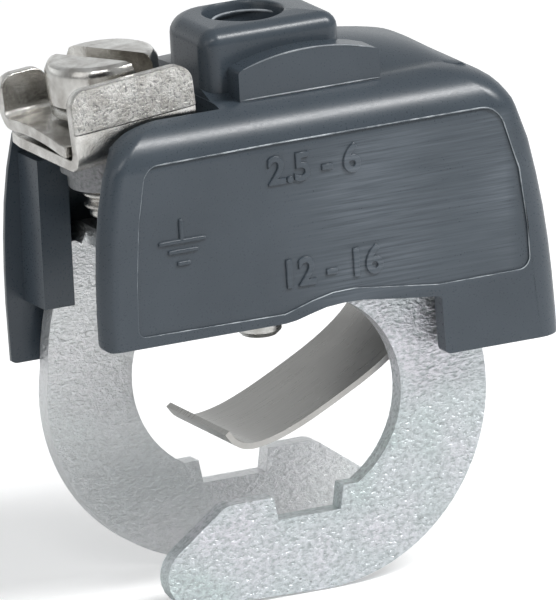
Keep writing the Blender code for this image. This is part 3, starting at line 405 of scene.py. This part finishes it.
def screw_thread(name, span, radius, mat):
    """Right-hand thread: the radius falls from the crest by the depth times a flat-topped wave of height over
    pitch less turn, and fades to the root at both ends. The wave is a straight-sided one, stretched by half
    and cut off at both levels."""
    low, high = span
    heights = np.linspace(low, high, int((high - low) / THREAD_PITCH * THREAD_STEPS) + 1)
    turns = np.linspace(0.0, 1.0, THREAD_SIDES, endpoint=False)
    z, turn = np.meshgrid(heights, turns, indexing="ij")
    phase = (z / THREAD_PITCH - turn) % 1.0
    wave = np.clip(np.abs(2.0 * phase - 1.0) * 1.5 - 0.25, 0.0, 1.0)
    fade = np.clip(np.minimum(z - low, high - z) / THREAD_RUNOUT, 0.0, 1.0)
    reach = (radius - THREAD_DEPTH * (1.0 - (1.0 - wave) * fade)) * MM
    angle = 2.0 * np.pi * turn
    points = np.stack([reach * np.cos(angle), reach * np.sin(angle), z * MM], axis=2)
    return grid_mesh(name, points, mat)


def raised_bar(name, length, width, height, mat):
    """Low bar with soft ends: a superellipse outline of the seventh power, drawn in along its edge by six
    tenths of the height times one less the cosine of the rise, at a level of the height times its sine."""
    angle = np.linspace(0.0, 2.0 * np.pi, 64, endpoint=False)
    rise = np.radians(np.array([0.0, 0.0, 30.0, 60.0, 90.0]))
    inset = height * 0.6 * (1.0 - np.cos(rise))
    level = np.concatenate([[-height], height * np.sin(rise[1:])])
    power = 2.0 / 7.0
    out_x = np.sign(np.cos(angle)) * np.abs(np.cos(angle)) ** power
    out_z = np.sign(np.sin(angle)) * np.abs(np.sin(angle)) ** power
    x = (length / 2 - inset)[:, None] * out_x
    y = np.broadcast_to(level[:, None], x.shape)
    z = (width / 2 - inset)[:, None] * out_z
    return grid_mesh(name, np.stack([x, -y, z], axis=2) * MM, mat)


def panel_depth(z):
    """Depth of the front panel's face at a height: a straight line, because the face leans."""
    return PANEL_LOW[0] + PANEL_SLOPE * (z - PANEL_LOW[1])


def panel_place(x, z):
    """Place on the front panel, leaning as its face does."""
    lean = Matrix.Rotation(-math.atan(PANEL_SLOPE), 4, "X")
    return Matrix.Translation(Vector((x, panel_depth(z), z)) * MM) @ lean


def stamped_plate(name, mat):
    """Thin plate on the saddle's lip, with two rounded upper corners: its outline, drawn in at the rim by the
    rise times one less the cosine of the swell, at a level of the rise times its sine."""
    span, low, high, corner, rise = LIP_SPAN, LIP_STAMP_FOOT, LIP_TOP, LIP_CORNER_R, LIP_STAMP_RISE
    arc = np.linspace(0.0, np.pi / 2.0, 9)
    right = np.stack([span[1] - corner + corner * np.cos(arc), high - corner + corner * np.sin(arc)], axis=1)
    left = np.stack([span[0] + corner - corner * np.sin(arc), high - corner + corner * np.cos(arc)], axis=1)
    outline = np.concatenate([[(span[0], low), (span[1], low)], right, left])
    middle = np.array([(span[0] + span[1]) / 2.0, (low + high) / 2.0])
    swell = np.radians(np.array([0.0, 0.0, 35.0, 65.0, 90.0]))
    inset = rise * (1.0 - np.cos(swell))
    level = np.concatenate([[-rise], rise * np.sin(swell[1:])])
    reach = outline - middle
    half = np.abs(reach).max(axis=0)
    x = middle[0] + reach[None, :, 0] * (1.0 - inset[:, None] / half[0])
    z = middle[1] + reach[None, :, 1] * (1.0 - inset[:, None] / half[1])
    y = np.broadcast_to(level[:, None], x.shape)
    return grid_mesh(name, np.stack([x, -y, z], axis=2) * MM, mat)


def rounded_path(corners, steps=8):
    """Closed path in which each corner with a radius becomes an arc that touches both its sides."""
    points = []
    for i, (corner, radius) in enumerate(corners):
        here = np.array(corner)
        if not radius:
            points.append(here)
            continue
        back = np.array(corners[i - 1][0]) - here
        ahead = np.array(corners[(i + 1) % len(corners)][0]) - here
        back, ahead = back / np.linalg.norm(back), ahead / np.linalg.norm(ahead)
        half = math.acos(float(back @ ahead)) / 2.0
        middle = here + (back + ahead) / np.linalg.norm(back + ahead) * radius / math.sin(half)
        first = here + back * radius / math.tan(half) - middle
        last = here + ahead * radius / math.tan(half) - middle
        share = np.linspace(0.0, 1.0, steps)[:, None]
        bend = (1.0 - share) * first + share * last
        points.extend(middle + bend / np.linalg.norm(bend, axis=1)[:, None] * radius)
    return np.array(points)


def label_bead(name, mat):
    """Round bead swept round the label panel's outline; each ring is a circle across the path's direction."""
    path, radius = rounded_path(LABEL_CORNERS), BEAD_R
    ahead = np.roll(path, -1, axis=0) - np.roll(path, 1, axis=0)
    ahead /= np.linalg.norm(ahead, axis=1)[:, None]
    side = np.stack([-ahead[:, 1], ahead[:, 0]], axis=1)
    turn = np.linspace(0.0, 2.0 * np.pi, BEAD_SIDES, endpoint=False)
    reach = radius * np.cos(turn)
    x = path[:, None, 0] + side[:, None, 0] * reach
    z = path[:, None, 1] + side[:, None, 1] * reach
    y = panel_depth(z) - BEAD_LIFT + radius * np.sin(turn)
    return wrapped_mesh(name, np.stack([x, y, z], axis=2) * MM, mat)


def tapered_bead(name, path, radius, mat):
    """Round bead along a path seen from the front: its radius times the square root of one less the sixth
    power of the share of the way from the middle to either end, kept above a fiftieth under the root, so
    that it runs out at both."""
    share = np.linspace(-1.0, 1.0, len(path))
    thick = radius * np.sqrt(np.maximum(1.0 - share ** 6, 0.02))
    ahead = np.gradient(path, axis=0)
    ahead /= np.linalg.norm(ahead, axis=1)[:, None]
    side = np.cross(ahead, np.array([0.0, 1.0, 0.0]))
    side /= np.linalg.norm(side, axis=1)[:, None]
    lift = np.cross(ahead, side)
    turn = np.linspace(0.0, 2.0 * np.pi, BEAD_SIDES, endpoint=False)
    rings = (path[:, None, :] + thick[:, None, None] * (side[:, None, :] * np.cos(turn)[None, :, None]
                                                        + lift[:, None, :] * np.sin(turn)[None, :, None]))
    return grid_mesh(name, rings * MM, mat)


def funnel_ring(name, mat):
    """Torus that lies level in the funnel: a small circle carried round the tower's middle."""
    turn, around = np.meshgrid(np.linspace(0.0, 2.0 * np.pi, 64, endpoint=False),
                               np.linspace(0.0, 2.0 * np.pi, BEAD_SIDES, endpoint=False), indexing="ij")
    reach = FUNNEL_RING_R + FUNNEL_RING_THICK * np.cos(around)
    points = np.stack([TOWER_MIDDLE[0] + reach * np.cos(turn), TOWER_MIDDLE[1] + reach * np.sin(turn),
                       FUNNEL_RING_Z + FUNNEL_RING_THICK * np.sin(around)], axis=2)
    return wrapped_mesh(name, points * MM, mat)


def level_line(span, y, z):
    """Points along X at one depth and height."""
    x = np.linspace(*span, 30)
    return np.stack([x, np.full_like(x, y), np.full_like(x, z)], axis=1)


def rib_line(span, y, drop):
    """Points along the rib's top arc at a given depth, a little below it."""
    x = np.linspace(*span, 40)
    z = RIB_TOP - RIB_TOP_R + np.sqrt(RIB_TOP_R ** 2 - (x - RIB_MIDDLE) ** 2) - drop
    return np.stack([x, np.full_like(x, y), z], axis=1)


def raised_numerals(name, text, x, z, mat):
    """Plain numerals standing on the front panel, with softened edges."""
    curve = bpy.data.curves.new(name, "FONT")
    curve.body = text
    curve.size = NUMERAL_HEIGHT * MM
    curve.extrude = NUMERAL_DEPTH * MM
    curve.bevel_depth = NUMERAL_EDGE * MM
    curve.bevel_resolution = 2
    curve.offset = NUMERAL_SWELL * MM
    holder = bpy.data.objects.new(name, curve)
    bpy.context.scene.collection.objects.link(holder)
    mesh = bpy.data.meshes.new_from_object(holder.evaluated_get(bpy.context.evaluated_depsgraph_get()))
    bpy.data.objects.remove(holder)
    mesh.name = name
    bm = bmesh.new()
    bm.from_mesh(mesh)
    bmesh.ops.remove_doubles(bm, verts=bm.verts, dist=NUMERAL_WELD * MM)
    bmesh.ops.recalc_face_normals(bm, faces=bm.faces)
    bm.to_mesh(mesh)
    bm.free()
    mesh.materials.clear()
    mesh.materials.append(mat)
    place_mesh(mesh, "stirrup", panel_place(x, z) @ Matrix.Rotation(math.pi / 2, 4, "X"))


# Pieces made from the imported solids

def dressed_copy(source, body, mat, width, segments=3, slim=None, clamp=True):
    """Merged copy of a solid with softened edges, which stands for it; slim makes room for a thread, and
    clamp keeps the softening from running over short edges."""
    mesh = frame["nodes"][source].data.copy()
    mesh.name = source + "_look"
    bm = bmesh.new()
    bm.from_mesh(mesh)
    bmesh.ops.remove_doubles(bm, verts=bm.verts, dist=MERGE_REACH * MM)
    bmesh.ops.dissolve_limit(bm, angle_limit=FLAT_ANGLE, verts=bm.verts, edges=bm.edges)
    bm.to_mesh(mesh)
    bm.free()
    if slim is not None:
        slim_shank(mesh, *slim)
    mesh.materials.clear()
    mesh.materials.append(mat)
    mesh.polygons.foreach_set("use_smooth", np.ones(len(mesh.polygons), dtype=bool))
    piece = bpy.data.objects.new(source + "_look", mesh)
    bpy.context.scene.collection.objects.link(piece)
    bevel = piece.modifiers.new("Edges", "BEVEL")
    bevel.width = width * MM
    bevel.segments = segments
    bevel.limit_method = "ANGLE"
    bevel.angle_limit = BEVEL_ANGLE
    bevel.use_clamp_overlap = clamp
    smooth = piece.modifiers.new("Weighted normals", "WEIGHTED_NORMAL")
    smooth.keep_sharp = True
    smooth.weight = 60
    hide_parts(source)
    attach(piece, body)


def slim_shank(mesh, place, radius):
    """Draw the shank in to below the thread's root: points at the thread's radius move towards the axis."""
    points = np.empty(len(mesh.vertices) * 3)
    mesh.vertices.foreach_get("co", points)
    points = points.reshape(-1, 3)
    to_axis = np.array(place.inverted())
    local = points @ to_axis[:3, :3].T + to_axis[:3, 3]
    reach = np.hypot(local[:, 0], local[:, 1]) / MM
    shank = np.abs(reach - radius) < SHANK_REACH
    local[shank, :2] *= 1.0 - SLIM_SHARE * THREAD_DEPTH / radius
    back = np.array(place)
    points = local @ back[:3, :3].T + back[:3, 3]
    mesh.vertices.foreach_set("co", points.ravel())
    mesh.update()


# The whole clamp

housing_look = housing_plastic()
# Both edge looks carry a painted highlight: a pale colour on the edge beads.
edge_look = painted_highlight_edge("rubbed_edge_look", (0.10, 0.12, 0.14), (0.42, 0.46, 0.49))
painted_glint_look = painted_highlight_edge("painted_glint_edge_look", (0.16, 0.18, 0.20), (0.40, 0.43, 0.46))
zinc_look = zinc_sheet()
strip_look = spring_strip()
nickel_look = nickel_plate("nickel_plate_look", 0.25)
bright_look = nickel_plate("bright_nickel_look", 0.05)
# Painted shade: the shaded nickel is a darkened copy of the nickel.
dark_look = nickel_plate("shaded_nickel_look", 0.4, 0.16)
grainy_look = nickel_plate("grainy_nickel_look", 1.0)
screw_look = screw_steel()
upright = Matrix.Identity(4)

dressed_copy("housing", "stirrup", housing_look, 0.18)
dressed_copy("clamp_frame", "stirrup", zinc_look, 0.12)
dressed_copy("contact_leaf", "leaf", strip_look, 0.06)
dressed_copy("main_screw", "pressing_screw", screw_look, 0.08, slim=(upright, PRESSING_RADIUS))
dressed_copy("lower_saddle", "stirrup", nickel_look, 0.12, 2, clamp=False)
dressed_copy("upper_saddle", "wire_clamp", nickel_look, 0.12, 2, clamp=False)
dressed_copy("spring_washer", "wire_clamp", screw_look, 0.10)
dressed_copy("terminal_screw", "wire_screw", bright_look, 0.10, slim=(TERMINAL, STUD_RADIUS))

place_mesh(screw_thread("terminal_thread", STUD_RANGE, STUD_RADIUS, nickel_look),
           "wire_screw", TERMINAL)
place_mesh(screw_thread("pressing_thread", PRESSING_RANGE, PRESSING_RADIUS, screw_look),
           "pressing_screw")

place_mesh(stamped_plate("stamped_lip", grainy_look),
           "stirrup", TERMINAL @ Matrix.Translation((0.0, LIP_FACE * MM, 0.0)))
for part, across, up, length, width in EARTH_BARS:
    bar = raised_bar("earth_mark_" + part, length, width, MARK_HEIGHT, housing_look)
    place_mesh(bar, "stirrup", panel_place(EARTH_MARK[0] + across, EARTH_MARK[1] + up))
# Painted shade: a dark bead under the stamped plate draws its shadow line.
ledge_line = level_line(LEDGE_SPAN, LIP_FACE - LEDGE_PROUD, LEDGE_HEIGHT)
place_mesh(tapered_bead("lip_ledge", ledge_line, LEDGE_R, dark_look), "stirrup", TERMINAL)
# Painted highlights: the rib's edge beads and the funnel ring are pale beads that draw bright edge lines and
# glints.
for name, path, radius in (("rib_top_edge", rib_line(RIB_FRONT_SPAN, RIB_FACE + 0.03, 0.03), RIB_FRONT_R),
                           ("rib_rear_edge", rib_line(RIB_REAR_SPAN, RIB_REAR - 0.03, 0.02), RIB_REAR_R),
                           ("rib_foot_edge", level_line(RIB_FOOT_SPAN, RIB_FACE, RIB_FOOT), RIB_FOOT_R)):
    place_mesh(tapered_bead(name, path, radius, painted_glint_look), "stirrup")
place_mesh(funnel_ring("funnel_ring", painted_glint_look), "stirrup")
# Painted highlight: the label panel's edge bead is a pale line round its outline.
place_mesh(label_bead("label_edge", edge_look), "stirrup")
raised_numerals("wire_size_mark", *WIRE_SIZES, housing_look)
raised_numerals("pipe_size_mark", *PIPE_SIZES, housing_look)


# Floor, light and camera

def studio_world():
    """Soft white surroundings, brightest low behind the object, with a dark card around the viewer; the
    camera sees white."""
    world = bpy.data.worlds.new("studio")
    bpy.context.scene.world = world
    world.use_nodes = True
    tree = world.node_tree
    back = tree.nodes["Background"]
    where = node(tree, "ShaderNodeTexCoord")
    _, y, z = split(tree, where.outputs["Generated"])
    shade = spread(tree, z, -0.4, 0.9, 0.45, 0.95)
    horizon = sums(tree, "MULTIPLY", spread(tree, y, 0.3, 0.8, 0.0, HORIZON),
                   spread(tree, z, 0.15, 0.55, 1.0, 0.0))
    toward = node(tree, "ShaderNodeVectorMath", operation="DOT_PRODUCT")
    tree.links.new(where.outputs["Generated"], toward.inputs[0])
    toward.inputs[1].default_value = DARK_CARD
    card = spread(tree, toward.outputs["Value"], 0.86, 0.95, 1.0, 0.12)
    level = sums(tree, "MULTIPLY", sums(tree, "ADD", shade, horizon), card)
    bright = node(tree, "ShaderNodeVectorMath", operation="SCALE")
    bright.inputs[0].default_value = (0.97, 0.99, 1.0)
    tree.links.new(level, bright.inputs["Scale"])
    tree.links.new(bright.outputs["Vector"], back.inputs["Color"])
    back.inputs["Strength"].default_value = WORLD_STRENGTH
    white = node(tree, "ShaderNodeBackground")
    white.inputs["Color"].default_value = (1.0, 1.0, 1.0, 1.0)
    path = node(tree, "ShaderNodeLightPath")
    choose = node(tree, "ShaderNodeMixShader")
    tree.links.new(path.outputs["Is Camera Ray"], choose.inputs["Fac"])
    tree.links.new(back.outputs["Background"], choose.inputs[1])
    tree.links.new(white.outputs["Background"], choose.inputs[2])
    tree.links.new(choose.outputs["Shader"], tree.nodes["World Output"].inputs["Surface"])


def pale_floor():
    """White floor that keeps the object's shadow; camera rays see it a little lifted, up to white."""
    mesh = bpy.data.meshes.new("floor")
    corners = [(FLOOR_REACH * x, FLOOR_REACH * y, FLOOR_Z) for x, y in ((-1, -1), (1, -1), (1, 1), (-1, 1))]
    mesh.from_pydata(corners, [], [(0, 1, 2, 3)])
    floor = bpy.data.objects.new("floor", mesh)
    bpy.context.scene.collection.objects.link(floor)
    mat, tree, shader = new_material("floor_white", (0.93, 0.93, 0.93), 0.0, 0.8)
    shader.inputs["Emission Color"].default_value = (1.0, 1.0, 1.0, 1.0)
    path = node(tree, "ShaderNodeLightPath")
    tree.links.new(spread(tree, path.outputs["Is Camera Ray"], 0.0, 1.0, 0.0, FLOOR_LIFT),
                   shader.inputs["Emission Strength"])
    mesh.materials.append(mat)


def area_light(name, place, aim, size, power, along):
    """Rectangular lamp that looks at aim, its length turned along the given direction."""
    data = bpy.data.lights.new(name, "AREA")
    data.shape = "RECTANGLE"
    data.size, data.size_y = size
    data.energy = power
    lamp = bpy.data.objects.new(name, data)
    bpy.context.scene.collection.objects.link(lamp)
    back = (Vector(place) - Vector(aim)).normalized()
    side = Vector(along) - back * back.dot(Vector(along))
    side.normalize()
    axes = Matrix((side, back.cross(side), back)).transposed().to_4x4()
    lamp.matrix_world = Matrix.Translation(place) @ axes


def photograph_camera():
    """Long lens, set so that the frame's origin and scale fall where the photograph has them."""
    right = Vector((math.cos(VIEW_LEFT), -math.sin(VIEW_LEFT), 0.0))
    ahead = Vector((math.sin(VIEW_LEFT) * math.cos(VIEW_UP), math.cos(VIEW_LEFT) * math.cos(VIEW_UP),
                    -math.sin(VIEW_UP)))
    up = right.cross(ahead)
    turn_c, turn_s = math.cos(VIEW_ROLL), math.sin(VIEW_ROLL)
    rolled_right = right * turn_c - up * turn_s
    rolled_up = right * turn_s + up * turn_c
    across = (FRAME_PIXELS[0] / 2 - ORIGIN_PIXEL[0]) / PIXELS_PER_MM * MM
    above = (ORIGIN_PIXEL[1] - FRAME_PIXELS[1] / 2) / PIXELS_PER_MM * MM
    target = rolled_right * across + rolled_up * above
    data = bpy.data.cameras.new("photograph")
    data.sensor_width = SENSOR
    data.lens = SENSOR * CAMERA_DISTANCE / (FRAME_PIXELS[1] / PIXELS_PER_MM * MM)
    data.clip_start = 0.01
    data.clip_end = 20.0
    camera = bpy.data.objects.new("photograph", data)
    bpy.context.scene.collection.objects.link(camera)
    axes = Matrix((rolled_right, rolled_up, -ahead)).transposed().to_4x4()
    camera.matrix_world = Matrix.Translation(target - ahead * CAMERA_DISTANCE) @ axes
    bpy.context.scene.camera = camera


studio_world()
pale_floor()
for lamp in LAMPS:
    area_light(*lamp)
photograph_camera()
bpy.context.scene.view_settings.view_transform = "Standard"
